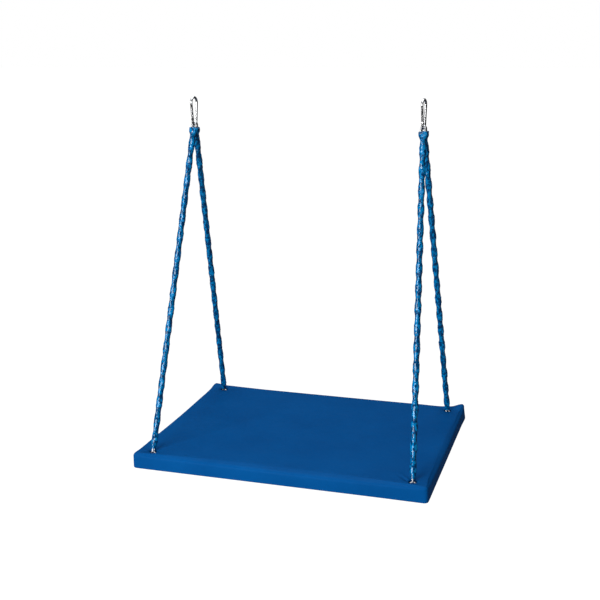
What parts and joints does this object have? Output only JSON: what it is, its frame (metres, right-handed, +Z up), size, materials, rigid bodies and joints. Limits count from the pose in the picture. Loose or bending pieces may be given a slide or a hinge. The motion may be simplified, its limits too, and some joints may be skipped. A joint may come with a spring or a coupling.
{
  "type": "platform swing",
  "caption": "Padded rectangular platform swing in blue vinyl, hung from two snap hooks by sleeved chains that run to eyebolts near its corners.",
  "frame": {"origin": "midway between the two hang points, where the load sits inside the top bend of each snap hook", "axes": "+X along the seat's long side, +Y towards the seat's back edge, +Z up"},
  "size_m": [1.016, 0.762, 1.2243],
  "materials": {
    "hook_steel": "polished",
    "gate_steel": "polished",
    "pin_steel": "satin",
    "spring_steel": "satin",
    "chain_zinc": "bright zinc",
    "sleeve_vinyl": "glossy, slightly see-through",
    "zinc_hardware": "bright zinc",
    "plywood": "raw",
    "foam": "open cell",
    "cover_vinyl": "semi-gloss grained vinyl",
    "dust_cloth": "woven"
  },
  "bodies": {
    "hooks": {"left_hook": "hook_steel", "left_gate_rivet": "pin_steel", "right_hook": "hook_steel", "right_gate_rivet": "pin_steel"},
    "left_gate_body": {"left_gate": "gate_steel", "left_latch_pin": "pin_steel", "left_gate_spring": "spring_steel"},
    "right_gate_body": {"right_gate": "gate_steel", "right_latch_pin": "pin_steel", "right_gate_spring": "spring_steel"},
    "left_end_pair": {"left_end_links": "chain_zinc"},
    "right_end_pair": {"right_end_links": "chain_zinc"},
    "left_legs": {"front_left_chain": "chain_zinc", "back_left_chain": "chain_zinc", "front_left_sleeve": "sleeve_vinyl", "back_left_sleeve": "sleeve_vinyl"},
    "right_legs": {"front_right_chain": "chain_zinc", "back_right_chain": "chain_zinc", "front_right_sleeve": "sleeve_vinyl", "back_right_sleeve": "sleeve_vinyl"},
    "platform": {"eyebolts": "zinc_hardware", "eye_washers": "zinc_hardware", "fender_washers": "zinc_hardware", "lock_nuts": "zinc_hardware", "plywood_board": "plywood", "foam_pad": "foam", "vinyl_cover": "cover_vinyl", "dust_panel": "dust_cloth", "staples": "zinc_hardware"}
  },
  "joints": [
    {"name": "left_gate_hinge", "type": "hinge", "parent": "hooks", "child": "left_gate_body", "pos_m": [-0.40105, -0.01162, -0.06907], "axis": [-0.9848, 0.1736, 0], "range_deg": [0, 25], "stiffness_Nm_per_rad": 0.4, "springref_deg": -20.05},
    {"name": "right_gate_hinge", "type": "hinge", "parent": "hooks", "child": "right_gate_body", "pos_m": [0.39695, -0.01162, -0.06907], "axis": [-0.9848, 0.1736, 0], "range_deg": [0, 25], "stiffness_Nm_per_rad": 0.4, "springref_deg": -20.05},
    {"name": "swing", "type": "hinge", "parent": "hooks", "child": "left_end_pair", "pos_m": [-0.399, 0, -0.0789], "axis": [1, 0, 0], "range_deg": [-30, 30]},
    {"name": "right_swing", "type": "hinge", "parent": "hooks", "child": "right_end_pair", "pos_m": [0.399, 0, -0.0789], "axis": [1, 0, 0], "range_deg": [-30, 30]},
    {"name": "side_sway", "type": "hinge", "parent": "left_end_pair", "child": "left_legs", "pos_m": [-0.40009, 0, -0.11014], "axis": [0, 1, 0], "range_deg": [-10, 10]},
    {"name": "right_side_sway", "type": "hinge", "parent": "right_end_pair", "child": "right_legs", "pos_m": [0.40009, 0, -0.11014], "axis": [0, 1, 0], "range_deg": [-10, 10]},
    {"name": "seat_tilt", "type": "hinge", "parent": "left_legs", "child": "platform", "pos_m": [-0.45027, 0, -1.17593], "axis": [0, 1, 0], "range_deg": [-9.5, 9.5]}
  ],
  "couplings": [
    {"joint": "right_swing", "follows": "swing", "ratio": 1},
    {"joint": "right_side_sway", "follows": "side_sway", "ratio": 1},
    {"joint": "seat_tilt", "follows": "side_sway", "ratio": -0.8876}
  ]
}
